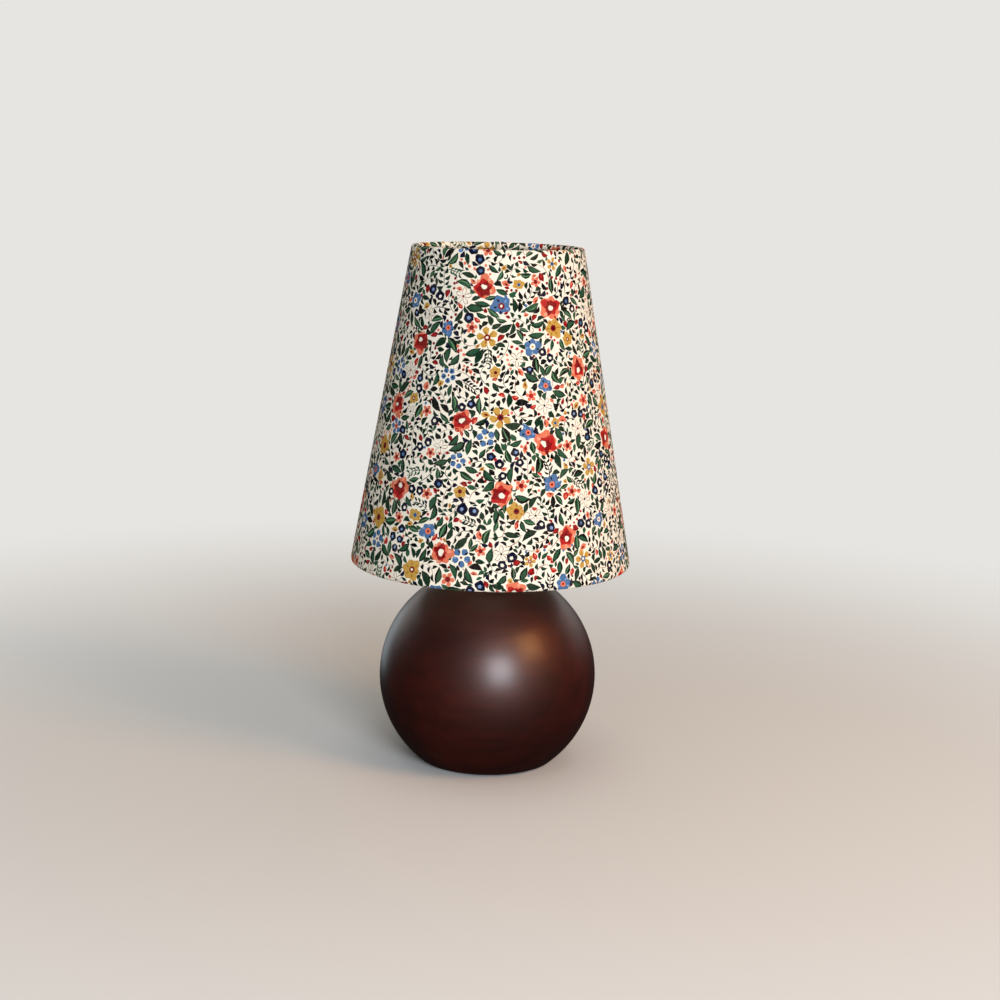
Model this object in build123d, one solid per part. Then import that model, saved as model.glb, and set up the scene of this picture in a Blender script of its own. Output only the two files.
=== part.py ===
from build123d import *
import os
from math import atan2, cos, degrees, pi, sin, sqrt, tan

# A small table lamp: a turned wooden ball on a felt foot carries a threaded pipe, and
# the pipe clamps a wire harp and a turn-switch lamp socket. A tall tapered shade of
# printed cotton hangs by a three-armed spider from the top of the harp, under a finial.
# The lamp stands on z = 0 with its axis on Z. Its front faces -Y, the cord outlet +Y.
# Heights of the stack are worked out from the bottom up, so each piece sits on the last.

# Fits between neighbours
slip = 0.10  # between fixed pieces that are pushed or dropped together
running = 0.08  # round a shaft or stud that something turns on
thread_gap = 0.06  # round a thread
face_gap = 0.10  # between faces that turn on each other

# Wooden ball and its felt foot
ball_radius = 78.0
ball_foot_radius = 49.0
ball_foot_ease = 1.2
ball_seat_radius = 17.5
felt_radius = 43.5
felt_thickness = 3.0
felt_recess_depth = 1.5
recess_radius = 30.0
recess_depth = 21.0
pipe_hole_clearance = 0.35

# Threaded pipe and what clamps it
pipe_radius = 5.15
pipe_bore_radius = 3.6
pipe_below_nut = 2.5
pipe_into_socket = 7.0
washer_radius = 16.0
washer_thickness = 2.0
lock_washer_radius = 9.0
lock_washer_thickness = 1.0
lock_washer_teeth = 10
lock_washer_tooth_radius = 1.1
nut_across_flats = 16.0
nut_thickness = 6.0
nut_chamfer = 0.8

# Cord outlet at the back of the ball
outlet_height = 14.5
bushing_bore_radius = 3.2
bushing_radius = 4.5
bushing_length = 14.0
bushing_flange_radius = 6.2
bushing_flange_thickness = 1.8
bushing_lip = 0.7
outlet_seat_y = 55.0

# Ring and spacer on top of the ball
check_ring_radius = 16.0
check_ring_height = 3.0
check_ring_ease = 0.9
neck_radius = 8.0
neck_height = 10.0
neck_bead = 1.2

# Harp saddle, harp, its locking sleeves and its stud
saddle_thickness = 1.6
saddle_half_span = 28.0
saddle_width = 4.0
saddle_plate_radius = 11.0
saddle_bend_radius = 2.0
prong_height = 12.0
harp_wire_radius = 1.75
harp_height = 190.5
harp_half_width = 50.0
harp_leg_length = 34.0
harp_bow_start = 30 / 136  # share of the way up from the leg to the shoulder
harp_bow_end = 76 / 136
harp_shoulder_half_width = 30.0
harp_shoulder_drop = 16.75
harp_top_half_width = 16.0
harp_bend_radii = [12.0, 60.0, 110.0, 44.0, 38.0]
sleeve_height = 12.0
sleeve_wall = 0.8
sleeve_rest_height = 2.4
rest_disc_radius = 9.5
rest_disc_thickness = 2.0
stud_boss_radius = 4.6
stud_boss_below_wire = 1.2
stud_radius = 3.175
stud_length = 12.0

# Lamp socket
cap_height = 20.0
cap_radius = 16.9
cap_wall = 0.8
cap_hub_radius = 9.0
cap_hub_height = 6.0
cap_dome_height = 15.0
set_screw_radius = 1.5
set_screw_length = 4.5
set_screw_height = 3.0
shell_wall = 0.6
shell_end = 59.0
shell_bead = 0.9
insulator_wall = 0.7
insulator_short = 2.0
body_radius = 14.0
body_start = 16.0
switch_height = 25.0
body_end = 33.0
rivet_radius = 1.4
rivet_offset_x = 8.6
rivet_offset_y = 4.3
contact_radius = 4.5
contact_thickness = 0.8
contact_spring_height = 1.2
screw_shell_wall = 0.4
screw_shell_height = 23.0
screw_ridge_count = 6
screw_ridge_depth = 0.45
terminal_head_radius = 3.0
terminal_head_thickness = 1.6
terminal_shank_radius = 1.4
terminal_shank_length = 3.5
terminal_hole_spare = 0.5
terminal_flat = 11.6
terminal_height = 20.0

# Turn switch
switch_shaft_radius = 2.0
switch_bushing_radius = 4.4
switch_bushing_reach = 6.0
switch_bushing_flange = 1.0
cam_size = 7.0
cam_length = 6.0
cam_cavity_radius = 5.6
knob_radius = 6.5
knob_length = 15.0
knob_flutes = 12
knob_flute_radius = 0.9
knob_ease = 1.2
knob_socket_depth = 9.0

# Bulb, measured up from its tip contact
bulb_radius = 30.0
bulb_length = 107.0
bulb_neck_radius = 12.0
bulb_neck_top = 28.0
bulb_glass_start = 20.0
bulb_glass = 1.0
bulb_base_radius = 13.1
bulb_base_wall = 0.35
bulb_base_ridge_count = 6
bulb_base_ridge_depth = 0.45
bulb_base_start = 5.0
bulb_base_end = 26.5
bulb_tip_radius = 4.2
bulb_tip_height = 1.3
bulb_insulator_radius = 10.5
bulb_tip_flat = 0.7  # share of the tip's radius
bulb_tip_margin = 0.8
stem_radius = 2.6
stem_flare_radius = 4.75
stem_height = 60.0
stem_rim = 1.2
stem_hollow = 2.0
stem_flare_height = 6.0
stem_neck_height = 14.0
lead_radius = 0.5
lead_spread = 11.0
lead_height = 14.0
lead_bend_height = 3.0
lead_bend_radius = 1.5
filament_radius = 0.7

# Shade, with offsets n inward from the printed face and u up the slant
shade_bottom_radius = 100.0
shade_top_radius = 60.0
shade_height = 224.0
cover_thickness = 0.5
liner_thickness = 0.5
ring_wire_radius = 1.5
hem_length = 13.0
hem_leave = 3.0
hem_tuck = 6.5
seam_width = 11.0
seam_thickness = 0.4
spider_drop = 25.4
spider_washer_radius = 11.0
spider_washer_thickness = 1.3
spider_wire_radius = 1.3
spider_arm_count = 3
spider_arm_flat = 26.0
spider_arm_entry = 8.0
spider_bend_radius = 9.0
spider_arm_angle = 90.0  # the first arm points to the seam at the back

# Finial
finial_foot_radius = 6.0
finial_neck_radius = 3.9
finial_ball_radius = 6.4
finial_foot_height = 3.0
finial_neck_height = 2.0
finial_thread_depth = 12.5

# Heights, from the table up
wood_bottom_z = felt_thickness - felt_recess_depth
ball_centre_z = wood_bottom_z + sqrt(ball_radius**2 - ball_foot_radius**2)
ball_seat_z = ball_centre_z + sqrt(ball_radius**2 - ball_seat_radius**2)
recess_roof_z = felt_thickness + recess_depth
washer_z = recess_roof_z - washer_thickness
lock_washer_z = washer_z - lock_washer_thickness
nut_z = lock_washer_z - nut_thickness
neck_z = ball_seat_z + check_ring_height
saddle_z = neck_z + neck_height
socket_z = saddle_z + saddle_thickness  # top face of the saddle
switch_z = socket_z + switch_height
bulb_z = socket_z + body_end + contact_spring_height + face_gap
rest_z = socket_z + harp_height  # top face of the disc that the shade rests on
spider_z = rest_z + face_gap
finial_z = spider_z + spider_washer_thickness + face_gap
shade_top_z = spider_z + spider_washer_thickness + spider_drop
shade_bottom_z = shade_top_z - shade_height

# The cone of the shade
slant = sqrt(shade_height**2 + (shade_bottom_radius - shade_top_radius) ** 2)
cone_angle = atan2(shade_bottom_radius - shade_top_radius, shade_height)
skin_thickness = cover_thickness + liner_thickness
roll_radius = (skin_thickness + 2 * ring_wire_radius + cover_thickness) / 2
ring_offset = skin_thickness + ring_wire_radius
harp_wire_z = rest_z - rest_disc_thickness - harp_wire_radius

# Where the harp's legs stand against the prongs of the saddle
leg_y = saddle_half_span + harp_wire_radius + slip / 2
prong_inner_y = saddle_half_span - saddle_thickness
sleeve_y = (prong_inner_y + leg_y + harp_wire_radius) / 2
sleeve_bore_radius = sqrt((sleeve_y - prong_inner_y) ** 2 + (saddle_width / 2) ** 2) + slip
shell_radius = cap_radius - cap_wall - slip
insulator_radius = shell_radius - shell_wall - slip
screw_shell_radius = bulb_base_radius + running + screw_ridge_depth + screw_shell_wall


def turned(*outline):
    """A closed outline of (radius, height) edges, turned once round the lamp's axis."""
    return revolve(make_face(Plane.XZ * Curve(outline)), Axis.Z, 360)


def turned_polygon(*points):
    """A turned piece whose outline is all straight lines."""
    return turned(Polyline(*points, close=True))


def ring_of(inner, outer, bottom, height):
    """A plain ring or tube on the lamp's axis."""
    tube = Cylinder(outer, height) - Cylinder(inner, height)
    return Pos(0, 0, bottom + height / 2) * tube


def bent_wire(path, radius):
    """A round wire along a path."""
    return sweep((path ^ 0) * Circle(radius), path=path)


def on_outlet(y, radius, length):
    """A cylinder on the cord outlet's axis, running from y towards the back."""
    return Pos(0, y + length / 2, outlet_height) * Rot(90, 0, 0) * Cylinder(radius, length)


def on_switch(x, radius, length):
    """A cylinder on the switch's axis, running from x away from the lamp."""
    return Pos(x + length / 2, 0, switch_z) * Rot(0, 90, 0) * Cylinder(radius, length)


def ball():
    """The turned ball: flat foot, flat seat, pipe hole, nut recess and cord outlet."""
    bore = pipe_radius + pipe_hole_clearance
    wood = turned(
        Line((bore, ball_seat_z), (ball_seat_radius, ball_seat_z)),
        ThreePointArc(
            (ball_seat_radius, ball_seat_z),
            (ball_radius, ball_centre_z),
            (ball_foot_radius, wood_bottom_z),
        ),
        Polyline(
            (ball_foot_radius, wood_bottom_z),
            (felt_radius + slip, wood_bottom_z),
            (felt_radius + slip, felt_thickness),
            (recess_radius, felt_thickness),
            (recess_radius, recess_roof_z),
            (bore, recess_roof_z),
            (bore, ball_seat_z),
        ),
    )
    foot_edge = wood.edges().filter_by(GeomType.CIRCLE).group_by(Axis.Z)[0].sort_by(SortBy.LENGTH)[-1]
    wood = fillet(foot_edge, ball_foot_ease)
    wood -= on_outlet(recess_radius / 2, bushing_radius + slip, ball_radius)
    return wood - on_outlet(outlet_seat_y, bushing_flange_radius + slip, ball_radius)


def felt_pad():
    """The felt disc let into the foot of the ball."""
    return Pos(0, 0, felt_thickness / 2) * Cylinder(felt_radius, felt_thickness)


def cord_bushing():
    """The flanged bushing that lines the cord outlet."""
    tube = on_outlet(outlet_seat_y - bushing_length, bushing_radius, bushing_length)
    flange = on_outlet(outlet_seat_y, bushing_flange_radius, bushing_flange_thickness)
    rim = flange.edges().filter_by(GeomType.CIRCLE).sort_by(Axis.Y)[-1]
    bore = on_outlet(outlet_seat_y - bushing_length, bushing_bore_radius, ball_radius)
    return tube + fillet(rim, bushing_lip) - bore


def lamp_pipe():
    """The threaded pipe from under the nut up into the socket's hub."""
    bottom = nut_z - pipe_below_nut
    return ring_of(pipe_bore_radius, pipe_radius, bottom, socket_z + pipe_into_socket - bottom)


def base_washer():
    return ring_of(pipe_radius + slip, washer_radius, washer_z, washer_thickness)


def lock_washer():
    """A washer with teeth cut into its rim."""
    washer = ring_of(pipe_radius + slip, lock_washer_radius, lock_washer_z, lock_washer_thickness)
    notch = Pos(0, 0, lock_washer_z) * Cylinder(lock_washer_tooth_radius, 4 * lock_washer_thickness)
    return washer - PolarLocations(lock_washer_radius, lock_washer_teeth) * notch


def base_nut():
    """The hexagon nut under the ball, with its corners turned off."""
    hexagon = extrude(RegularPolygon(nut_across_flats / 2, 6, major_radius=False), nut_thickness)
    corner = nut_across_flats / sqrt(3)
    barrel = Pos(0, 0, nut_thickness / 2) * Cylinder(corner, nut_thickness)
    barrel = chamfer(barrel.edges().filter_by(GeomType.CIRCLE), nut_chamfer)
    bore = Cylinder(pipe_radius + thread_gap, 4 * nut_thickness)
    return Pos(0, 0, nut_z) * ((hexagon & barrel) - bore)


def check_ring():
    """The brass ring that covers the pipe hole on top of the ball."""
    ring = Pos(0, 0, ball_seat_z + check_ring_height / 2) * Cylinder(check_ring_radius, check_ring_height)
    ring = fillet(ring.edges().filter_by(GeomType.CIRCLE).sort_by(Axis.Z)[-1], check_ring_ease)
    return ring - Pos(0, 0, ball_seat_z) * Cylinder(pipe_radius + slip, 4 * check_ring_height)


def neck_spacer():
    """The brass spacer between ring and saddle, with a bead round its middle."""
    inner, middle = pipe_radius + slip, neck_z + neck_height / 2
    return turned(
        Polyline((neck_radius, middle - neck_bead), (neck_radius, neck_z), (inner, neck_z)),
        Line((inner, neck_z), (inner, saddle_z)),
        Polyline((inner, saddle_z), (neck_radius, saddle_z), (neck_radius, middle + neck_bead)),
        ThreePointArc(
            (neck_radius, middle + neck_bead),
            (neck_radius + neck_bead, middle),
            (neck_radius, middle - neck_bead),
        ),
    )


def harp_saddle():
    """The steel strip under the socket, bent up at both ends into prongs."""
    end, top = saddle_half_span, socket_z + prong_height
    outside = Polyline((-end, top), (-end, saddle_z), (end, saddle_z), (end, top))
    outer_bend, inner_end = saddle_bend_radius + saddle_thickness, end - saddle_thickness
    inside = Polyline((-inner_end, top), (-inner_end, socket_z), (inner_end, socket_z), (inner_end, top))
    profile = Curve(
        [
            *fillet(outside.vertices().group_by(Axis.Y)[0], outer_bend).edges(),
            *fillet(inside.vertices().group_by(Axis.Y)[0], saddle_bend_radius).edges(),
            Line((-end, top), (-inner_end, top)),
            Line((end, top), (inner_end, top)),
        ]
    )
    strip = extrude(make_face(Plane.YZ * profile), saddle_width / 2, both=True)
    plate = Pos(0, 0, saddle_z + saddle_thickness / 2) * Cylinder(saddle_plate_radius, saddle_thickness)
    return strip + plate - Pos(0, 0, saddle_z) * Cylinder(pipe_radius + slip, 4 * saddle_thickness)


def harp_path():
    """The centre line of the harp's wire, from foot to foot, in the YZ plane."""
    leg_z, shoulder_z = socket_z + harp_leg_length, harp_wire_z - harp_shoulder_drop
    right = [
        (0, leg_y, socket_z + saddle_bend_radius),
        (0, leg_y, leg_z),
        (0, harp_half_width, leg_z + harp_bow_start * (shoulder_z - leg_z)),
        (0, harp_half_width, leg_z + harp_bow_end * (shoulder_z - leg_z)),
        (0, harp_shoulder_half_width, shoulder_z),
        (0, harp_top_half_width, harp_wire_z),
    ]
    left = [(0, -y, z) for _, y, z in reversed(right)]
    # The radii run from the top corner down each side.
    radii = [*reversed(harp_bend_radii), *harp_bend_radii]
    return FilletPolyline(*right, *left, radius=radii)


def harp():
    return bent_wire(harp_path(), harp_wire_radius)


def harp_stud():
    """The brass stud riveted over the top of the harp, with the disc under the shade."""
    boss_bottom = harp_wire_z - harp_wire_radius - stud_boss_below_wire
    stud = turned_polygon(
        (0, boss_bottom),
        (stud_boss_radius, boss_bottom),
        (stud_boss_radius, rest_z - rest_disc_thickness),
        (rest_disc_radius, rest_z - rest_disc_thickness),
        (rest_disc_radius, rest_z),
        (stud_radius, rest_z),
        (stud_radius, rest_z + stud_length - stud_radius / 2),
        (stud_radius / 2, rest_z + stud_length),
        (0, rest_z + stud_length),
    )
    groove = Cylinder(harp_wire_radius + slip / 2, 4 * rest_disc_radius)
    return stud - Pos(0, 0, harp_wire_z) * Rot(90, 0, 0) * groove


def harp_sleeve(side):
    """The sleeve that locks one leg of the harp to its prong, down in its resting place."""
    outer = sleeve_bore_radius + sleeve_wall
    sleeve = Cylinder(outer, sleeve_height) - Cylinder(sleeve_bore_radius, sleeve_height)
    return Pos(0, side * sleeve_y, socket_z + sleeve_rest_height + sleeve_height / 2) * sleeve


def socket_cap():
    """The spun cap under the socket, whose hub screws down the pipe onto the saddle."""
    bore, top = pipe_radius + thread_gap, socket_z + cap_height
    dome_z, hub_z = socket_z + cap_dome_height, socket_z + cap_hub_height
    inner = cap_radius - cap_wall
    cap = turned_polygon(
        (bore, socket_z),
        (cap_hub_radius, socket_z),
        (cap_hub_radius, hub_z - cap_wall),
        (cap_radius, dome_z - cap_wall),
        (cap_radius, top),
        (inner, top),
        (inner, dome_z),
        (cap_hub_radius - cap_wall, hub_z),
        (bore, hub_z),
    )
    screw_hole = Cylinder(set_screw_radius + thread_gap, 2 * (cap_hub_radius - pipe_radius))
    return cap - Pos(0, -cap_hub_radius, socket_z + set_screw_height) * Rot(90, 0, 0) * screw_hole


def set_screw():
    """The grub screw through the hub, with a slot across its head."""
    start = -(pipe_radius + thread_gap + set_screw_length / 2)
    place = Pos(0, start, socket_z + set_screw_height) * Rot(90, 0, 0)
    slot = Box(4 * set_screw_radius, set_screw_radius / 3, set_screw_radius)
    return place * (Cylinder(set_screw_radius, set_screw_length) - Pos(0, 0, set_screw_length / 2) * slot)


def socket_shell():
    """The brass shell of the socket, with a rolled bead round its mouth."""
    bottom, top = socket_z + cap_dome_height + slip, socket_z + shell_end
    inner = shell_radius - shell_wall
    mouth = top - 2 * shell_bead
    bead_crest = (shell_radius + shell_bead, top - shell_bead)
    shell = turned(
        Polyline((inner, top), (inner, bottom), (shell_radius, bottom), (shell_radius, mouth)),
        ThreePointArc((shell_radius, mouth), bead_crest, (shell_radius, top)),
        Line((shell_radius, top), (inner, top)),
    )
    return shell - on_switch(0, switch_bushing_radius + slip, 2 * shell_radius)


def socket_insulator():
    """The card sleeve that lines the shell."""
    bottom, top = socket_z + cap_dome_height + slip, socket_z + shell_end - insulator_short
    sleeve = ring_of(insulator_radius - insulator_wall, insulator_radius, bottom, top - bottom)
    return sleeve - on_switch(0, switch_bushing_radius + slip, 2 * shell_radius)


def socket_body():
    """The moulded insulating body, whole, with its cavities cut: it parts at the switch's axis."""
    height = body_end - body_start
    flat_depth, flat_height = body_radius - terminal_flat, switch_height - body_start
    flat_z = socket_z + body_start + flat_height / 2
    hole_depth = terminal_shank_length + terminal_hole_spare
    body = Pos(0, 0, socket_z + body_start + height / 2) * Cylinder(body_radius, height)
    for side in (1, -1):
        flat = Box(2 * body_radius, flat_depth, flat_height)
        body -= Pos(0, side * (terminal_flat + flat_depth / 2), flat_z) * flat
        hole = Pos(0, side * terminal_flat, socket_z + terminal_height) * Rot(90, 0, 0)
        body -= hole * Cylinder(terminal_shank_radius + thread_gap, 2 * hole_depth)
        body -= rivet_place(side) * Cylinder(rivet_radius + slip / 2, 2 * height)
    body -= on_switch(-cam_length / 2 - running, cam_cavity_radius, cam_length + 2 * running)
    return body - on_switch(0, switch_shaft_radius + running, 2 * body_radius)


def body_half(low, high):
    """The slice of the socket's body between two heights above the saddle."""
    height = high - low
    return socket_body() & Pos(0, 0, socket_z + low + height / 2) * Cylinder(2 * body_radius, height)


def socket_body_lower():
    return body_half(body_start, switch_height)


def socket_body_upper():
    return body_half(switch_height, body_end)


def rivet_place(side):
    return Pos(side * rivet_offset_x, rivet_offset_y, socket_z + (body_start + body_end) / 2)


def body_rivet(side):
    """One of the two rivets that hold the halves of the socket's body together."""
    return rivet_place(side) * Cylinder(rivet_radius, body_end - body_start)


def centre_contact():
    """The brass disc at the bottom of the socket, with the raised spring under the bulb's tip."""
    bottom = socket_z + body_end
    spring = contact_radius / 2
    return turned_polygon(
        (0, bottom),
        (contact_radius, bottom),
        (contact_radius, bottom + contact_thickness),
        (spring, bottom + contact_spring_height),
        (0, bottom + contact_spring_height),
    )


def ridged(outer, bottom, top, ridges, depth):
    """Points down the outside of a rolled screw shell, from top to bottom."""
    pitch = (top - bottom) / ridges
    points = [(outer, top)]
    for ridge in range(ridges):
        crest = top - ridge * pitch
        points += [(outer, crest - pitch / 4), (outer - depth, crest - pitch / 2)]
        points += [(outer, crest - pitch * 3 / 4)]
    return [*points, (outer, bottom)]


def screw_shell():
    """The rolled brass thread that the bulb screws into."""
    bottom = socket_z + body_end + slip
    top = bottom + screw_shell_height
    outside = ridged(screw_shell_radius, bottom, top, screw_ridge_count, screw_ridge_depth)
    inside = [(r - screw_shell_wall, z) for r, z in reversed(outside)]
    return turned_polygon(*outside, *inside)


def terminal_screw(side):
    """One wiring screw, on the flat at the side of the socket's body."""
    under_head = terminal_flat + slip
    place = Pos(0, 0, socket_z + terminal_height) * Rot(-90 * side, 0, 0)
    head = Pos(0, 0, under_head + terminal_head_thickness / 2) * Cylinder(
        terminal_head_radius, terminal_head_thickness
    )
    slot = Pos(0, 0, under_head + terminal_head_thickness) * Box(
        4 * terminal_head_radius, terminal_head_radius / 5, terminal_head_thickness
    )
    shank = Pos(0, 0, under_head - terminal_shank_length / 2) * Cylinder(
        terminal_shank_radius, terminal_shank_length
    )
    return place * (head - slot + shank)


def switch_bushing():
    """The flanged ferrule that carries the switch's shaft through the shell."""
    inside = body_radius + slip
    reach = shell_radius + switch_bushing_reach
    tube = on_switch(inside, switch_bushing_radius, reach - inside)
    lip_radius = switch_bushing_radius + switch_bushing_flange
    lip = on_switch(reach - switch_bushing_flange, lip_radius, switch_bushing_flange)
    return tube + lip - on_switch(0, switch_shaft_radius + running, 2 * reach)


def switch_cam():
    """The square cam that opens and closes the contacts, a quarter turn at a time."""
    cam = Pos(0, 0, switch_z) * Box(cam_length, cam_size, cam_size)
    return chamfer(cam.edges().filter_by(Axis.X), cam_size / 5)


def knob_start():
    return shell_radius + switch_bushing_reach + 2 * face_gap


def switch_shaft():
    start = cam_length / 2
    return on_switch(start, switch_shaft_radius, knob_start() + knob_socket_depth - start - slip)


def switch_knob():
    """The fluted knob on the end of the switch's shaft."""
    start = knob_start()
    knob = on_switch(start, knob_radius, knob_length)
    knob = fillet(knob.edges().filter_by(GeomType.CIRCLE), knob_ease)
    flute = Pos(0, 0, knob_radius) * Rot(0, 90, 0) * Cylinder(knob_flute_radius, 4 * knob_length)
    for turn in range(knob_flutes):
        knob -= Pos(start, 0, switch_z) * Rot(turn * 360 / knob_flutes, 0, 0) * flute
    return knob - on_switch(start, switch_shaft_radius, knob_socket_depth)


def bulb_outline(offset):
    """The glass of the bulb in (radius, height), offset inward: dome, shoulder and neck."""
    ball_z = bulb_z + bulb_length - bulb_radius
    neck_z_top = bulb_z + bulb_neck_top
    drop = ball_z - neck_z_top
    # The shoulder's radius makes its arc touch both the neck and the dome.
    shoulder = (bulb_neck_radius**2 + drop**2 - bulb_radius**2) / (2 * (bulb_radius - bulb_neck_radius))
    reach = shoulder + bulb_radius
    across, down = (bulb_neck_radius + shoulder) / reach, drop / reach
    radius, bend = bulb_radius - offset, shoulder + offset
    touch = (radius * across, ball_z - radius * down)
    centre = (bulb_neck_radius + shoulder, neck_z_top)
    half = atan2(down, across) / 2
    on_bend = (centre[0] - bend * cos(half), centre[1] + bend * sin(half))
    side = (radius, ball_z)
    neck = bulb_neck_radius - offset
    return [
        ThreePointArc((0, ball_z + radius), (radius * sin(pi / 4), ball_z + radius * cos(pi / 4)), side),
        ThreePointArc(side, (radius * cos(half), ball_z - radius * sin(half)), touch),
        ThreePointArc(touch, on_bend, (neck, neck_z_top)),
        Line((neck, neck_z_top), (neck, bulb_z + bulb_glass_start)),
    ]


def bulb_envelope():
    """The glass of the bulb, a thin shell open at its neck."""
    top, start = bulb_z + bulb_length, bulb_z + bulb_glass_start
    return turned(
        *bulb_outline(0),
        *bulb_outline(bulb_glass),
        Line((0, top), (0, top - bulb_glass)),
        Line((bulb_neck_radius, start), (bulb_neck_radius - bulb_glass, start)),
    )


def bulb_base():
    """The screw base of the bulb, drawn in at its foot round the insulator."""
    bottom, top = bulb_z + bulb_base_start, bulb_z + bulb_base_end
    outside = ridged(bulb_base_radius, bottom, top, bulb_base_ridge_count, bulb_base_ridge_depth)
    outside += [(bulb_insulator_radius, bottom - bulb_base_wall)]
    inside = [(r - bulb_base_wall, z) for r, z in reversed(outside[:-1])]
    foot = (bulb_insulator_radius, bottom)
    return turned_polygon(*outside, foot, *inside)


def bulb_insulator():
    """The black glass between the bulb's screw base and its tip."""
    bottom, top = bulb_z + bulb_tip_height, bulb_z + bulb_base_start - bulb_base_wall
    return turned_polygon(
        (0, bottom),
        (bulb_tip_radius + bulb_tip_margin, bottom),
        (bulb_insulator_radius - slip, top),
        (bulb_insulator_radius - slip, top + bulb_base_wall),
        (0, top + bulb_base_wall),
    )


def bulb_tip():
    """The solder contact under the bulb."""
    return turned_polygon(
        (0, bulb_z),
        (bulb_tip_radius * bulb_tip_flat, bulb_z),
        (bulb_tip_radius, bulb_z + bulb_tip_height / 2),
        (bulb_tip_radius, bulb_z + bulb_tip_height),
        (0, bulb_z + bulb_tip_height),
    )


def bulb_stem():
    """The glass mount inside the bulb, flared at its foot where it is sealed to the neck."""
    bottom = bulb_z + bulb_glass_start
    flare = bulb_neck_radius - bulb_glass - slip
    return turned_polygon(
        (0, bottom + stem_hollow),
        (flare, bottom),
        (flare, bottom + stem_rim),
        (stem_flare_radius, bottom + stem_flare_height),
        (stem_radius, bottom + stem_neck_height),
        (stem_radius, bulb_z + stem_height),
        (0, bulb_z + stem_height),
    )


def bulb_lead(side):
    """One lead wire: straight up out of the stem, then leaning out to the filament."""
    foot_x, foot_z = side * (stem_radius - lead_radius - slip), bulb_z + stem_height
    bend = (foot_x, 0, foot_z + lead_bend_height)
    tip = (side * lead_spread, 0, foot_z + lead_height)
    return bent_wire(FilletPolyline((foot_x, 0, foot_z), bend, tip, radius=lead_bend_radius), lead_radius)


def bulb_filament():
    """The filament, a shallow level bow between the tops of the two leads."""
    level = bulb_z + stem_height + lead_height + lead_radius + filament_radius
    ends = [(side * lead_spread, 0, level) for side in (1, -1)]
    return bent_wire(ThreePointArc(ends[0], (0, lead_spread / 2, level), ends[1]), filament_radius)


def on_slant(n, u):
    """A point of the shade's section: n out from the printed face, u up the slant."""
    radius = shade_bottom_radius - u * sin(cone_angle) + n * cos(cone_angle)
    return (radius, shade_bottom_z + u * cos(cone_angle) + n * sin(cone_angle))


def roll_of(inset, foot_u, end_u, way):
    """One rolled edge: round the ring's wire, back to the liner and along it as a hem.

    inset is 0 for the outer face of the cotton and its thickness for the inner face, foot_u
    is the rim's height up the slant, and way is 1 where the shade lies above that rim."""
    centre_u = foot_u + way * roll_radius
    inner_n = -2 * roll_radius + inset
    hem_n = -skin_thickness - cover_thickness + inset
    lean = atan2(hem_n - inner_n, hem_tuck - hem_leave)
    outer_shift = (cover_thickness - inset) * tan(lean / 2)  # keeps the two faces parallel
    wire_u = foot_u + way * (hem_leave + outer_shift)
    tuck_u = foot_u + way * (hem_tuck + outer_shift)
    rim = on_slant(-roll_radius, foot_u + way * inset)
    return [
        ThreePointArc(on_slant(-inset, centre_u), rim, on_slant(inner_n, centre_u)),
        Polyline(
            on_slant(inner_n, centre_u),
            on_slant(inner_n, wire_u),
            on_slant(hem_n, tuck_u),
            on_slant(hem_n, end_u),
        ),
    ]


def cotton_edges():
    """The outline of the cotton's section: both faces, rolled over both rings."""
    edges = []
    hem_n = -skin_thickness - cover_thickness
    for inset in (0, cover_thickness):
        edges.append(Line(on_slant(-inset, roll_radius), on_slant(-inset, slant - roll_radius)))
        edges += roll_of(inset, 0, hem_length, 1)
        edges += roll_of(inset, slant, slant - hem_length, -1)
    for end_u in (hem_length, slant - hem_length):
        edges.append(Line(on_slant(-skin_thickness, end_u), on_slant(hem_n, end_u)))
    return edges


def seam():
    """The lap of the cotton down the back, proud of the rest by its own thickness."""
    low, high = roll_radius, slant - roll_radius
    inside, outside = (0, seam_thickness)
    corners = [(inside, low), (outside, low), (outside, high), (inside, high)]
    lap = make_face(Plane.XZ * Polyline(*[on_slant(n, u) for n, u in corners], close=True))
    span = degrees(seam_width / shade_bottom_radius)
    return Rot(0, 0, 90 - span / 2) * revolve(lap, Axis.Z, span)


def shade_cover():
    """The printed cotton: the outer skin, rolled over the rings and hemmed inside.

    The top hem is nicked where the spider's arms pass through it to the ring."""
    ring_radius, ring_z = ring_place()
    nick = Pos(ring_radius - 2 * roll_radius, 0, ring_z) * Rot(0, 90, 0) * Cylinder(
        spider_wire_radius + slip, 4 * roll_radius
    )
    nicks = [Rot(0, 0, angle) * nick for angle in spider_angles()]
    return turned(*cotton_edges()) + seam() - nicks


def shade_liner():
    """The stiff white sheet that the cotton is bonded to."""
    low, high = roll_radius + slip, slant - roll_radius - slip
    outer, inner = -cover_thickness, -skin_thickness
    outside = on_slant(outer, high), on_slant(outer, low)
    return turned_polygon(*outside, on_slant(inner, low), on_slant(inner, high))


def ring_place(way=-1):
    """Radius and height of the top ring's centre line, or of the bottom ring's with way 1."""
    rim_u = 0 if way > 0 else slant
    return on_slant(-ring_offset, rim_u + way * (roll_radius + slip))


def wire_ring(way):
    """A ring of wire inside one rolled edge of the shade."""
    radius, height = ring_place(way)
    return Pos(0, 0, height) * Torus(radius, ring_wire_radius - slip / 2)


def spider_washer():
    return ring_of(stud_radius + running, spider_washer_radius, spider_z, spider_washer_thickness)


def spider_angles():
    return [spider_arm_angle + 360 / spider_arm_count * n for n in range(spider_arm_count)]


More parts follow.
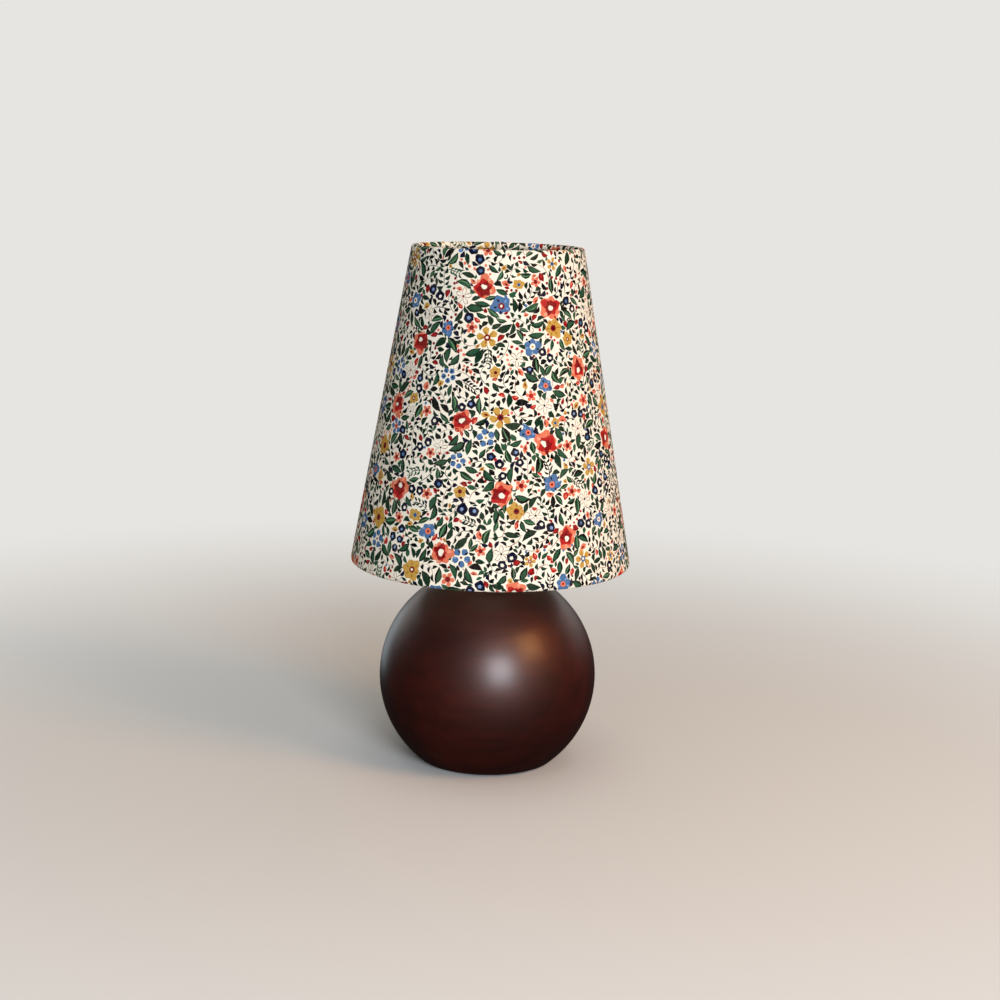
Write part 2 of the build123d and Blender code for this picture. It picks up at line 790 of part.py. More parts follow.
def spider_arm(angle):
    """One arm: flat from the washer, then rising, then level to the inside of the top ring."""
    ring_radius, ring_z = ring_place()
    level = spider_z + spider_washer_thickness / 2
    path = FilletPolyline(
        (spider_washer_radius + slip, 0, level),
        (spider_arm_flat, 0, level),
        (ring_radius - spider_arm_entry, 0, ring_z),
        (ring_radius - ring_wire_radius - slip, 0, ring_z),
        radius=[spider_bend_radius, spider_bend_radius / 2],
    )
    return Rot(0, 0, angle) * bent_wire(path, spider_wire_radius)


def finial():
    """The turned brass finial: foot, neck and ball, bored for the stud."""
    neck_top = finial_z + finial_foot_height + finial_neck_height
    ball_z = neck_top + sqrt(finial_ball_radius**2 - finial_neck_radius**2)
    crown_z = ball_z + finial_ball_radius
    outside = turned(
        Polyline(
            (0, finial_z),
            (finial_foot_radius, finial_z),
            (finial_foot_radius, finial_z + finial_foot_height / 2),
            (finial_neck_radius, finial_z + finial_foot_height),
            (finial_neck_radius, neck_top),
        ),
        ThreePointArc((finial_neck_radius, neck_top), (finial_ball_radius, ball_z), (0, crown_z)),
        Line((0, crown_z), (0, finial_z)),
    )
    bore = Cylinder(stud_radius + running, finial_thread_depth)
    return outside - Pos(0, 0, finial_z + finial_thread_depth / 2) * bore


parts = {
    "ball_base": ball(),
    "felt_pad": felt_pad(),
    "cord_bushing": cord_bushing(),
    "lamp_pipe": lamp_pipe(),
    "base_washer": base_washer(),
    "lock_washer": lock_washer(),
    "base_nut": base_nut(),
    "check_ring": check_ring(),
    "neck_spacer": neck_spacer(),
    "harp_saddle": harp_saddle(),
    "harp_wire": harp(),
    "harp_stud": harp_stud(),
    "harp_sleeve_front": harp_sleeve(-1),
    "harp_sleeve_back": harp_sleeve(1),
    "socket_cap": socket_cap(),
    "set_screw": set_screw(),
    "socket_shell": socket_shell(),
    "socket_insulator": socket_insulator(),
    "socket_body_lower": socket_body_lower(),
    "socket_body_upper": socket_body_upper(),
    "body_rivet_left": body_rivet(-1),
    "body_rivet_right": body_rivet(1),
    "centre_contact": centre_contact(),
    "screw_shell": screw_shell(),
    "terminal_screw_brass": terminal_screw(1),
    "terminal_screw_silver": terminal_screw(-1),
    "switch_bushing": switch_bushing(),
    "switch_cam": switch_cam(),
    "switch_shaft": switch_shaft(),
    "switch_knob": switch_knob(),
    "bulb_envelope": bulb_envelope(),
    "bulb_base": bulb_base(),
    "bulb_insulator": bulb_insulator(),
    "bulb_tip": bulb_tip(),
    "bulb_stem": bulb_stem(),
    "bulb_lead_left": bulb_lead(-1),
    "bulb_lead_right": bulb_lead(1),
    "bulb_filament": bulb_filament(),
    "shade_cover": shade_cover(),
    "shade_liner": shade_liner(),
    "top_ring": wire_ring(-1),
    "bottom_ring": wire_ring(1),
    "spider_washer": spider_washer(),
    **{f"spider_arm_{n + 1}": spider_arm(angle) for n, angle in enumerate(spider_angles())},
    "finial": finial(),
}

os.makedirs("parts", exist_ok=True)
for name, shape in parts.items():
    export_step(shape, f"parts/{name}.step")

print(f"ball's seat {ball_seat_z:.2f}, saddle {socket_z:.2f}, harp's rest {rest_z:.2f}")
print(f"switch {switch_z:.2f}, bulb's tip {bulb_z:.2f}, finial {finial_z:.2f}")
print(f"shade from {shade_bottom_z:.2f} to {shade_top_z:.2f}")
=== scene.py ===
import math
import random

import bpy
import numpy as np
from mathutils import Matrix, Vector
from mathutils.geometry import delaunay_2d_cdt


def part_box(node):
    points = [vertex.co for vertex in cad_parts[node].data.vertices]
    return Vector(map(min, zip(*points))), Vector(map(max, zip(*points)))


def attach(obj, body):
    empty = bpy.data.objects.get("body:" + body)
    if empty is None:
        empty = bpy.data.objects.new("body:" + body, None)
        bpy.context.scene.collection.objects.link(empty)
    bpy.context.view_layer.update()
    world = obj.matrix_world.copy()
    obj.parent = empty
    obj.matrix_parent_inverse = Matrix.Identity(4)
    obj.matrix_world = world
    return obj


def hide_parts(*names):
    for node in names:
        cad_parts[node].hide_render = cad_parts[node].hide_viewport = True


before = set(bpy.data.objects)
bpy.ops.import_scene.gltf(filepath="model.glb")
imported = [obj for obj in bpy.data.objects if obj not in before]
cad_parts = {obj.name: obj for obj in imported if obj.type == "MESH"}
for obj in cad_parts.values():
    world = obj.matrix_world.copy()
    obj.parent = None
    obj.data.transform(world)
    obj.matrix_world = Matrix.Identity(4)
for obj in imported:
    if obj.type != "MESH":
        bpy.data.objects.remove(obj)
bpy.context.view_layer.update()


def colour(red, green, blue):
    """A colour as a screen shows it, 0 to 255, turned into the values that light adds up in."""
    def linear(part):
        part /= 255
        return part / 12.92 if part <= 0.04045 else ((part + 0.055) / 1.055) ** 2.4
    return (linear(red), linear(green), linear(blue), 1.0)


class Value:
    """What a node gives out. Arithmetic with it, or with it and a number, adds Math nodes."""

    def __init__(self, finish, socket):
        self.finish, self.socket = finish, socket

    def __add__(self, other):
        return self.finish.math("ADD", self, other)

    def __radd__(self, other):
        return self.finish.math("ADD", other, self)

    def __sub__(self, other):
        return self.finish.math("SUBTRACT", self, other)

    def __rsub__(self, other):
        return self.finish.math("SUBTRACT", other, self)

    def __mul__(self, other):
        return self.finish.math("MULTIPLY", self, other)

    def __rmul__(self, other):
        return self.finish.math("MULTIPLY", other, self)

    def __truediv__(self, other):
        return self.finish.math("DIVIDE", self, other)

    def __rtruediv__(self, other):
        return self.finish.math("DIVIDE", other, self)

    def __pow__(self, other):
        return self.finish.math("POWER", self, other)

    def __rpow__(self, other):
        return self.finish.math("POWER", other, self)


class Finish:
    """One material while it is put together from nodes."""

    def __init__(self, owner):
        owner.use_nodes = True
        self.owner, self.tree = owner, owner.node_tree
        self.tree.nodes.clear()

    def feed(self, socket, value):
        if isinstance(value, Value):
            self.tree.links.new(value.socket, socket)
        else:
            socket.default_value = value

    def node(self, kind, settings, values, output=0):
        """A node of one kind: settings first, then what goes into its sockets; gives one output."""
        made = self.tree.nodes.new("ShaderNode" + kind)
        for key, setting in settings.items():
            if key == "stops":
                ramp = made.color_ramp
                for _ in setting[2:]:
                    ramp.elements.new(1.0)
                for stop, (position, paint) in zip(ramp.elements, setting):
                    stop.position, stop.color = position, paint
            elif key == "interpolation" and kind == "ValToRGB":
                made.color_ramp.interpolation = setting
            else:
                setattr(made, key, setting)
        for key, value in values.items():
            self.feed(made.inputs[key], value)
        return Value(self, made.outputs[output]) if made.outputs else None

    def math(self, operation, *values):
        return self.node("Math", {"operation": operation}, dict(enumerate(values)))

    def blend(self, share, first, second):
        """A colour between two colours, by a share from 0 to 1."""
        return self.node("Mix", {"data_type": "RGBA"}, {0: share, 6: first, 7: second}, 2)

    def noise(self, place, scale, detail, rough=0.5):
        values = {"Vector": place, "Scale": scale, "Detail": detail, "Roughness": rough}
        return self.node("TexNoise", {}, values)

    def ease(self, value, low, high):
        """0 below low, 1 above high, and a smooth rise between."""
        settings = {"interpolation_type": "SMOOTHSTEP"}
        return self.node("MapRange", settings, {"Value": value, "From Min": low, "From Max": high})

    def squeeze(self, place, scale):
        return self.node("Mapping", {}, {"Vector": place, "Scale": scale})

    def place(self, scale=(1, 1, 1)):
        """Where a point is on its piece, in metres, squeezed by a scale in each direction."""
        return self.squeeze(self.node("TexCoord", {}, {}, "Object"), scale)

    def part_of(self, vector, axis):
        """One of the three numbers of a vector, X, Y or Z."""
        return self.node("SeparateXYZ", {}, {"Vector": vector}, axis)

    def relief(self, height, distance, strength=1.0):
        return self.node("Bump", {}, {"Height": height, "Distance": distance, "Strength": strength})

    def surface(self, values):
        self.node("OutputMaterial", {}, {"Surface": self.node("BsdfPrincipled", {}, values)})


def new_finish(name):
    return Finish(bpy.data.materials.new(name))


def give(finish, *names):
    """Puts a finish on CAD pieces."""
    for name in names:
        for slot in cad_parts[name].material_slots:
            slot.material = finish.owner


surround = Finish(bpy.data.worlds.new("surround"))
bpy.context.scene.world = surround.owner
# The camera sees the surround as a bright backdrop all round, glass sees it only behind the
# lamp, and gloss only behind it and over the floor. To every other ray it is a weak light,
# which gloss hardly shows.
kinds = "Is Camera Ray", "Is Glossy Ray", "Is Transmission Ray"
camera_ray, glossy_ray, through_ray = [surround.node("LightPath", {}, {}, kind) for kind in kinds]
way = surround.node("TexCoord", {}, {}, "Generated")
behind = surround.ease(surround.part_of(way, "Y"), 0.2, 0.8)
above = surround.ease(surround.part_of(way, "Z"), -0.08, 0.30)
seen = surround.math("MINIMUM", camera_ray + (glossy_ray * above + through_ray) * behind, 1.0)
around = (0.20 + 0.28 * behind) * (1 - glossy_ray * (0.97 - 0.18 * above))
backdrop = 0.9
strength = around * (1 - seen) + backdrop * seen
sky = surround.node("Background", {}, {"Color": colour(242, 240, 236), "Strength": strength})
surround.node("OutputWorld", {}, {"Surface": sky})

floor_reach, fade_start, fade_end = 6.0, 0.17, 0.95
floor_mesh = bpy.data.meshes.new("studio_floor")
corners = [(x * floor_reach, y * floor_reach, 0) for x, y in ((-1, -1), (1, -1), (1, 1), (-1, 1))]
floor_mesh.from_pydata(corners, [], [(0, 1, 2, 3)])
studio_floor = bpy.data.objects.new("studio_floor", floor_mesh)
bpy.context.scene.collection.objects.link(studio_floor)
paper = new_finish("studio_paper")
away = paper.node("VectorMath", {"operation": "LENGTH"}, {0: paper.place()}, "Value")
paper.surface({
    "Base Color": colour(228, 226, 222),
    "Roughness": 0.85,
    "Specular IOR Level": 0.1,
    "Alpha": 1 - paper.ease(away, fade_start, fade_end),
})
floor_mesh.materials.append(paper.owner)
studio_floor.visible_glossy = False

aim_height = 0.17


def soft_light(name, size, power, tint, azimuth, elevation, distance):
    """A square soft light that faces the lamp; azimuth 0 is the front, positive to the right."""
    data = bpy.data.lights.new(name, "AREA")
    data.shape, data.size, data.energy, data.color = "SQUARE", size, power, tint
    light = bpy.data.objects.new(name, data)
    bpy.context.scene.collection.objects.link(light)
    turn, rise = math.radians(azimuth), math.radians(elevation)
    level = math.cos(rise)
    back = Vector((math.sin(turn) * level, -math.cos(turn) * level, math.sin(rise)))
    light.location = Vector((0, 0, aim_height)) + distance * back
    light.rotation_mode = "QUATERNION"
    light.rotation_quaternion = back.to_track_quat("Z", "Y")
    light.visible_camera = False
    return light


window_light = soft_light("window_light", 0.90, 44, (0.83, 0.90, 1.0), 14, 16, 2.4)
window_light.data.shape, window_light.data.size_y = "RECTANGLE", 1.0
soft_light("ceiling_light", 2.2, 16, (1.0, 0.97, 0.91), 20, 80, 2.6)
soft_light("left_window_light", 0.8, 2.2, (0.78, 0.92, 1.0), -146, -4, 2.2)
soft_light("warm_fill_light", 0.8, 16, (1.0, 0.50, 0.18), 55, 34, 2.2)

camera_data = bpy.data.cameras.new("photographer")
camera_data.lens = 65.97
camera_data.sensor_width = 36.0
photographer = bpy.data.objects.new("photographer", camera_data)
bpy.context.scene.collection.objects.link(photographer)
stand = (0, -1.2855, 0.4285)
pan, tilt, slope = math.radians(-0.263), math.radians(79.49), math.radians(1.52)
aim = Matrix.Rotation(pan, 4, "Z") @ Matrix.Rotation(tilt, 4, "X") @ Matrix.Rotation(slope, 4, "Z")
photographer.matrix_world = Matrix.Translation(stand) @ aim
bpy.context.scene.camera = photographer
bpy.context.scene.view_settings.view_transform = "Standard"

# The ball is turned from one block of close-grained hardwood with its grain lying
# left to right, stained a dark red-brown and sprayed with a satin lacquer. The stain
# sinks in unevenly, a little darker in the pores and round the growth rings.
wood = new_finish("stained_wood")
along_grain = wood.place((0.10, 1, 1))
sway = wood.noise(along_grain, 26, 3)
across, height = [wood.part_of(wood.place(), axis) for axis in ("Y", "Z")]
heart_y, heart_z, ring_width = 0.16, -0.05, 0.0058
reach = ((across - heart_y) ** 2.0 + (height - heart_z) ** 2.0) ** 0.5 + sway * 0.016
ring = wood.math("FRACT", reach / ring_width)
late_wood = wood.ease(ring, 0.35, 0.97) - wood.ease(ring, 0.97, 1.0)
pores = wood.ease(wood.noise(wood.place((0.045, 1, 1)), 1300, 2, 0.7), 0.60, 0.72)
streaks = wood.noise(wood.place((0.05, 1, 1)), 170, 4, 0.6)
blotch = wood.noise(wood.place((0.6, 1, 1)), 17, 3)
depth = 0.03 * late_wood + 0.45 * streaks + 0.80 * blotch - 0.16
stain = wood.blend(wood.ease(depth, 0.08, 0.72), colour(75, 11, 1), colour(33, 1, 0))
stain = wood.blend(pores * 0.3, stain, colour(18, 3, 2))
wood.surface({
    "Base Color": stain,
    "Roughness": 0.46 + 0.06 * blotch + 0.05 * streaks,
    "Specular IOR Level": 0.9,
    "Specular Tint": (1.0, 0.60, 0.50, 1.0),
    "Coat Weight": 0.85,
    "Coat Roughness": 0.33,
    "Coat IOR": 1.5,
    "Normal": wood.relief(0 - pores - 0.1 * late_wood, 0.00003, 0.5),
})
give(wood, "ball_base")

# The foot is a disc of pressed wool felt glued into the recess under the ball. It is
# soft, fibrous and nearly black, so that the lamp doesn't mark what it stands on.
felt = new_finish("pressed_felt")
fibre = felt.noise(felt.place(), 1700, 4, 0.7)
tuft = felt.noise(felt.place(), 240, 3, 0.6)
felt.surface({
    "Base Color": felt.blend(fibre * 0.5 + tuft * 0.5, colour(30, 24, 22), colour(74, 62, 56)),
    "Roughness": 0.95,
    "Specular IOR Level": 0.15,
    "Sheen Weight": 0.35,
    "Sheen Roughness": 0.6,
    "Normal": felt.relief(fibre + tuft, 0.0004),
})
give(felt, "felt_pad")

# The cord outlet's bushing is moulded black plastic, and so are the switch's knob and
# the body of the socket. Moulded plastic has a soft gloss with a faint orange-peel skin.
plastic = new_finish("moulded_plastic")
peel = plastic.noise(plastic.place(), 900, 2)
flow = plastic.noise(plastic.place((1, 1, 0.4)), 60, 3)
plastic.surface({
    "Base Color": plastic.blend(flow, colour(20, 19, 19), colour(38, 36, 35)),
    "Roughness": 0.26 + 0.14 * flow,
    "Normal": plastic.relief(peel, 0.00003, 0.5),
})
give(plastic, "cord_bushing", "switch_knob", "socket_body_lower", "socket_body_upper")

# The threaded pipe runs up through the ball, with washer, toothed washer and hexagon nut
# under it. They are steel, plated with zinc, which dries in a faint cloudy spangle.
zinc = new_finish("zinc_plate")
spangle = zinc.node("TexVoronoi", {}, {"Vector": zinc.place(), "Scale": 420}, "Color")
shade_of_grain = zinc.node("SeparateColor", {}, {"Color": spangle}, "Red")
smear = zinc.noise(zinc.place(), 130, 4, 0.6)
cloudy = shade_of_grain * 0.5 + smear * 0.5
zinc.surface({
    "Base Color": zinc.blend(cloudy, colour(168, 170, 172), colour(214, 216, 218)),
    "Metallic": 1.0,
    "Roughness": 0.30 + 0.18 * smear,
    "Normal": zinc.relief(smear, 0.00003, 0.4),
})
give(zinc, "base_washer", "lock_washer", "base_nut", "set_screw", "terminal_screw_silver")
mm = 0.001
screw_pitch = 0.94 * mm
threaded = new_finish("threaded_zinc")
climb = threaded.part_of(threaded.place(), "Z")
thread = threaded.math("SINE", climb * (2 * math.pi / screw_pitch))
# The grooves of the thread are painted darker than its crests: painted shade in the grooves, as the
# thread is only a bump.
painted_crest_light = threaded.ease(thread, -1.0, 0.2)
dull = threaded.noise(threaded.place(), 160, 3)
threaded.surface({
    "Base Color": threaded.blend(painted_crest_light, colour(104, 104, 104), colour(205, 207, 208)),
    "Metallic": 1.0,
    "Roughness": 0.30 + 0.15 * dull,
    "Normal": threaded.relief(thread, 0.0003, 0.8),
})
give(threaded, "lamp_pipe")

# The ring and spacer on the ball, the harp with its saddle, sleeves and stud, the cap,
# shell and switch ferrule of the socket, and the finial are polished brass under clear
# lacquer. Turned and drawn pieces keep fine lines, and the lacquer has warmed with age.
brass = new_finish("lacquered_brass")
turning = brass.noise(brass.place((0.02, 0.02, 1)), 9000, 2)
warmth = brass.noise(brass.place(), 45, 4, 0.6)
specks = brass.ease(brass.noise(brass.place(), 700, 3, 0.7), 0.66, 0.74)
tone = brass.blend(warmth, colour(226, 188, 108), colour(196, 150, 78))
brass.surface({
    "Base Color": brass.blend(specks * 0.5, tone, colour(120, 84, 42)),
    "Metallic": 1.0,
    "Roughness": 0.17 + 0.10 * warmth + 0.06 * turning + 0.2 * specks,
    "Normal": brass.relief(turning, 0.000004, 0.5),
})
give(brass, "check_ring", "neck_spacer", "harp_saddle", "harp_wire", "harp_stud")
give(brass, "harp_sleeve_front", "harp_sleeve_back", "socket_cap", "socket_shell")
give(brass, "switch_bushing", "finial")

# Inside the socket, the screw shell, centre contact, wiring screw, rivets and switch
# shaft are plain rolled brass without lacquer, duller and a little brown.
contact_brass = new_finish("plain_brass")
tarnish = contact_brass.noise(contact_brass.place(), 180, 4, 0.6)
contact_brass.surface({
    "Base Color": contact_brass.blend(tarnish, colour(212, 170, 96), colour(160, 116, 62)),
    "Metallic": 1.0,
    "Roughness": 0.28 + 0.2 * tarnish,
    "Normal": contact_brass.relief(tarnish, 0.00002, 0.4),
})
give(contact_brass, "screw_shell", "centre_contact", "terminal_screw_brass", "switch_shaft")
give(contact_brass, "body_rivet_left", "body_rivet_right")

# A sleeve of stiff brown card keeps the socket's shell from its live parts. It is rolled
# from plain board, with the fibres of the pulp showing.
card = new_finish("brown_card")
pulp = card.noise(card.place((1, 1, 0.3)), 1300, 4, 0.7)
cloud = card.noise(card.place(), 90, 3)
card.surface({
    "Base Color": card.blend(0.6 * pulp + 0.4 * cloud, colour(150, 118, 84), colour(196, 164, 124)),
    "Roughness": 0.88,
    "Specular IOR Level": 0.2,
    "Normal": card.relief(pulp, 0.00008, 0.7),
})
give(card, "socket_insulator")

# The cam on the switch's shaft is a small block of pale moulded plastic.
cam = new_finish("cam_plastic")
skin = cam.noise(cam.place(), 500, 3)
cam.surface({
    "Base Color": cam.blend(skin, colour(214, 200, 172), colour(232, 222, 198)),
    "Roughness": 0.5 + 0.1 * skin,
    "Normal": cam.relief(skin, 0.00003, 0.4),
})
give(cam, "switch_cam")

# The bulb is blown glass coated white inside, so it looks like glazed porcelain, and its colour
# greys a little towards the neck. Its rolled aluminium base is crimped on below.
neck_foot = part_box("bulb_envelope")[0][2]
neck_top = neck_foot + 35 * mm
milk = new_finish("white_coated_glass")
neckward = 1 - milk.ease(milk.part_of(milk.place(), "Z"), neck_foot, neck_top)
powder = milk.noise(milk.place(), 70, 4, 0.6)
coat = milk.blend(powder, colour(246, 245, 240), colour(238, 236, 230))
milk.surface({
    "Base Color": milk.blend(neckward * 0.5, coat, colour(214, 210, 200)),
    "Roughness": 0.22 + 0.06 * powder,
    "Coat Weight": 0.3,
    "Coat Roughness": 0.06,
})
give(milk, "bulb_envelope")
aluminium = new_finish("rolled_aluminium")
rolled = aluminium.noise(aluminium.place((0.05, 0.05, 1)), 2600, 3)
scuff = aluminium.noise(aluminium.place(), 150, 4, 0.6)
aluminium.surface({
    "Base Color": aluminium.blend(scuff, colour(200, 200, 202), colour(224, 225, 227)),
    "Metallic": 1.0,
    "Roughness": 0.26 + 0.16 * scuff + 0.05 * rolled,
    "Normal": aluminium.relief(rolled, 0.00001, 0.5),
})
give(aluminium, "bulb_base")

# Black glass parts the bulb's base from its tip of soft grey solder. Inside the bulb a
# clear glass stem carries the lead wires and the coiled filament.
black_glass = new_finish("black_glass")
swirl = black_glass.noise(black_glass.place(), 260, 3)
black_glass.surface({
    "Base Color": black_glass.blend(swirl, colour(14, 14, 20), colour(30, 29, 40)),
    "Roughness": 0.12 + 0.1 * swirl,
    "Coat Weight": 0.4,
    "Coat Roughness": 0.05,
})
give(black_glass, "bulb_insulator")
solder = new_finish("grey_solder")
lumps = solder.noise(solder.place(), 800, 3)
solder.surface({
    "Base Color": solder.blend(lumps, colour(150, 150, 152), colour(190, 190, 192)),
    "Metallic": 1.0,
    "Roughness": 0.35 + 0.2 * lumps,
    "Normal": solder.relief(lumps, 0.0001, 0.6),
})
give(solder, "bulb_tip")
stem_glass = new_finish("stem_glass")
seeds = stem_glass.noise(stem_glass.place(), 600, 2)
stem_glass.surface({
    "Base Color": stem_glass.blend(seeds, colour(228, 238, 238), colour(240, 246, 246)),
    "Roughness": 0.04 + 0.05 * seeds,
    "Transmission Weight": 1.0,
    "IOR": 1.5,
})
give(stem_glass, "bulb_stem")
wire = new_finish("drawn_wire")
drawn = wire.noise(wire.place(), 2200, 2)
wire.surface({
    "Base Color": wire.blend(drawn, colour(150, 148, 146), colour(196, 194, 190)),
    "Metallic": 1.0,
    "Roughness": 0.3 + 0.15 * drawn,
})
give(wire, "bulb_lead_left", "bulb_lead_right", "bulb_filament")

# The shade's two rings and its three-armed spider are steel wire, welded and dipped in
# off-white plastic, which is thick, soft-edged and slightly glossy.
dipped = new_finish("white_dipped_wire")
runs = dipped.noise(dipped.place(), 160, 3)
dipped.surface({
    "Base Color": dipped.blend(runs, colour(222, 215, 198), colour(206, 198, 180)),
    "Roughness": 0.32 + 0.12 * runs,
    "Normal": dipped.relief(runs, 0.00012, 0.5),
})
give(dipped, "top_ring", "bottom_ring", "spider_washer")
give(dipped, "spider_arm_1", "spider_arm_2", "spider_arm_3")

# The lining is a stiff sheet of white styrene, rolled into the cone. The cotton is
# bonded to its outside, and its inside is matt so that it spreads the bulb's light.
liner = new_finish("white_liner")
matt = liner.noise(liner.place(), 1200, 3, 0.6)
haze = liner.noise(liner.place(), 25, 3)
liner.surface({
    "Base Color": liner.blend(haze, colour(242, 239, 230), colour(233, 229, 218)),
    "Roughness": 0.55 + 0.1 * matt,
    "Specular IOR Level": 0.3,
    "Normal": liner.relief(matt, 0.00004, 0.5),
})
give(liner, "shade_liner")

# The cover is one flat piece of plain-woven cotton, cut as part of a wide ring, printed
# all over with small flowers on cream, wrapped round the liner and lapped down the back.
# Its edges roll over the wire rings and are glued inside as narrow hems.
ring_wire, ring_inset, ring_lift = 1.45 * mm, 2.5 * mm, 2.35 * mm
lap_width, lap_lift, lap_ramp = 11.0 * mm, 0.4 * mm, 2 * mm
cut_low, cut_high = 0.2 * mm, 0.3 * mm


def ring_centre(node):
    """Radius and height of the middle of a ring's wire."""
    low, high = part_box(node)
    return np.array((high[0] - ring_wire, (low[2] + high[2]) / 2))


low_ring, high_ring = ring_centre("bottom_ring"), ring_centre("top_ring")
lean = math.atan2(low_ring[0] - high_ring[0], high_ring[1] - low_ring[1])
outward = np.array((math.cos(lean), math.sin(lean)))
upslant = np.array((-math.sin(lean), math.cos(lean)))
rim_foot = low_ring + outward * ring_inset - upslant * ring_lift
slant = np.linalg.norm(high_ring - low_ring) + 2 * ring_lift
apex = rim_foot[0] / math.sin(lean)
# Down the section of one edge, in millimetres out from the face and up from the rim: from
# the cut end of the hem, down the liner, away from it and round the wire, to the face.
roll_radius = 2.25
arc = np.linspace(math.pi, 0, 19)
liner_face, hem_face = -1.02, -1.5
hem_top, hem_foot, roll_back = 13.0, 6.69, 3.19
hem_n = (liner_face, hem_face, hem_face, -2 * roll_radius)
hem_u = (hem_top, hem_top, hem_foot, roll_back)
wire_n = -roll_radius + roll_radius * np.cos(arc)
wire_u = roll_radius - roll_radius * np.sin(arc)
edge_n = np.concatenate((hem_n, wire_n, (0.0,))) * mm
edge_u = np.concatenate((hem_u, wire_u, (slant / 2 / mm,))) * mm
edge_length = np.concatenate(((0.0,), np.cumsum(np.hypot(np.diff(edge_n), np.diff(edge_u)))))
edge_roll = roll_radius * mm
edge_way = edge_length - edge_length[-2] + edge_roll
hem_cloth = -edge_way[0]
outer, inner = apex + hem_cloth, apex - slant - hem_cloth
spread = 2 * math.pi * math.sin(lean)
lap = lap_width / apex
half_cloth = (spread + lap) / 2


def section(way):
    """Out and up of a point of the cloth, by its way along the cloth from the bottom rim."""
    from_rim = np.minimum(way, slant - way)
    out, up = np.interp(from_rim, edge_way, edge_n), np.interp(from_rim, edge_way, edge_u)
    return out, np.where(way <= slant / 2, up, slant - up)


def on_shade(flat):
    """Where points of the flat cloth lie on the lamp, and which way the cloth faces there."""
    from_apex, turn = np.hypot(flat[:, 0], flat[:, 1]), np.arctan2(flat[:, 0], -flat[:, 1])
    way = apex - from_apex
    nip = 0.15 * mm
    (n, u), (n1, u1), (n0, u0) = section(way), section(way + nip), section(way - nip)
    run = np.hypot(n1 - n0, u1 - u0)
    face_n, face_u = (u1 - u0) / run, (n0 - n1) / run
    start, edge = spread / 2 - lap / 2, half_cloth - cut_low / apex
    rise = np.clip((turn - start + lap_ramp / apex) / (lap_ramp / apex), 0, 1)
    lift = lap_lift * rise * rise * (3 - 2 * rise) * (turn < edge)
    n, u = n + lift * face_n, u + lift * face_u
    radius = rim_foot[0] + n * outward[0] + u * upslant[0]
    level = rim_foot[1] + n * outward[1] + u * upslant[1]
    flow = face_n * outward[0] + face_u * upslant[0]
    rising = face_n * outward[1] + face_u * upslant[1]
    round_lamp = turn / math.sin(lean)
    sine, cosine = np.sin(round_lamp), -np.cos(round_lamp)
    spots = np.stack((radius * sine, radius * cosine, level), 1)
    return spots, np.stack((flow * sine, flow * cosine, rising), 1)


dyes = {
    "cream": (251, 244, 226),
    "coral": (228, 122, 90),
    "pink": (240, 164, 132),
    "dark red": (132, 10, 16),
    "red": (184, 30, 30),
    "gold": (204, 160, 74),
    "mustard": (168, 116, 38),
    "cornflower": (72, 114, 160),
    "pale blue": (128, 158, 202),
    "navy": (5, 9, 40),
    "dark green": (15, 48, 31),
    "leaf green": (36, 82, 56),
    "pale green": (92, 138, 96),
    "ink": (2, 8, 8),
    "sepia": (160, 122, 100),
}
dye_order = list(dyes)
draw = random.Random(41)
full_turn = 6.28


def blob(count, reach, dent, steps, wobble=0.0, sharp=0.8):
    """A closed outline with count rounded petals that touch; dent is how deep the notches go."""
    turn, outline = draw.uniform(0, full_turn), []
    reaches = [reach * (1 + draw.uniform(-wobble, wobble)) for _ in range(count)]
    for k in range(count * steps):
        petal, part = divmod(k, steps)
        bulge = math.sin(math.pi * (part + 0.5) / steps) ** sharp
        angle = turn + 2 * math.pi * (k + 0.5) / (count * steps)
        size = reaches[petal] * (1 - dent * (1 - bulge))
        outline.append((size * math.cos(angle), size * math.sin(angle)))
    return np.array(outline)


def blade(length, width, bend, steps, fat=0.45):
    """A pointed leaf along x from the origin, widest at fat, bowed to one side."""
    t = np.linspace(0, 1, steps + 1)
    opening, closing = np.sin(np.pi / 2 * t / fat), np.cos(np.pi / 2 * (t - fat) / (1 - fat))
    swell = np.where(t < fat, opening, closing)
    bow = bend * length * np.sin(np.pi * t)
    upper = np.stack((length * t, bow + width / 2 * swell), 1)
    lower = np.stack((length * t, bow - width / 2 * swell), 1)
    return np.concatenate((upper, lower[-2:0:-1]))


def half_blade(length, width, bend, steps):
    """One side of a leaf, from its midrib out."""
    t = np.linspace(0.12, 0.9, steps + 1)
    bow = bend * length * np.sin(np.pi * t)
    rib = np.stack((length * t, bow), 1)
    rim = np.stack((length * t, bow + width / 2 * np.sin(np.pi * t)), 1)
    return np.concatenate((rim, rib[::-1]))


def stroke(line, width):
    """A thin drawn line of one width that thins at its ends."""
    line = np.array(line)
    run = np.gradient(line, axis=0)
    step = np.maximum(np.hypot(run[:, 0], run[:, 1]), 1e-9)
    side = np.stack((-run[:, 1], run[:, 0]), 1) / step[:, None]
    half = np.full(len(line), width / 2)
    half[[0, -1]] *= 0.4
    return np.concatenate((line + side * half[:, None], (line - side * half[:, None])[::-1]))


def at(shapes, x, y, turn=0.0):
    """Shapes turned and moved on the cloth."""
    c, s = math.cos(turn), math.sin(turn)
    turned = np.array(((c, s), (-s, c)))
    return [(outline @ turned + (x, y), dye) for outline, dye in shapes]


def round_about(count, reach, shapes):
    """Shapes repeated round a centre, each pointing outward."""
    start = draw.uniform(0, full_turn)
    made = []
    for k in range(count):
        angle = start + 2 * math.pi * k / count
        made += at(shapes(), reach * math.cos(angle), reach * math.sin(angle), angle)
    return made


def aside(shapes, reach):
    """Shapes shifted a little off centre, as a hand would place them."""
    return at(shapes, draw.uniform(-reach, reach), draw.uniform(-reach, reach))


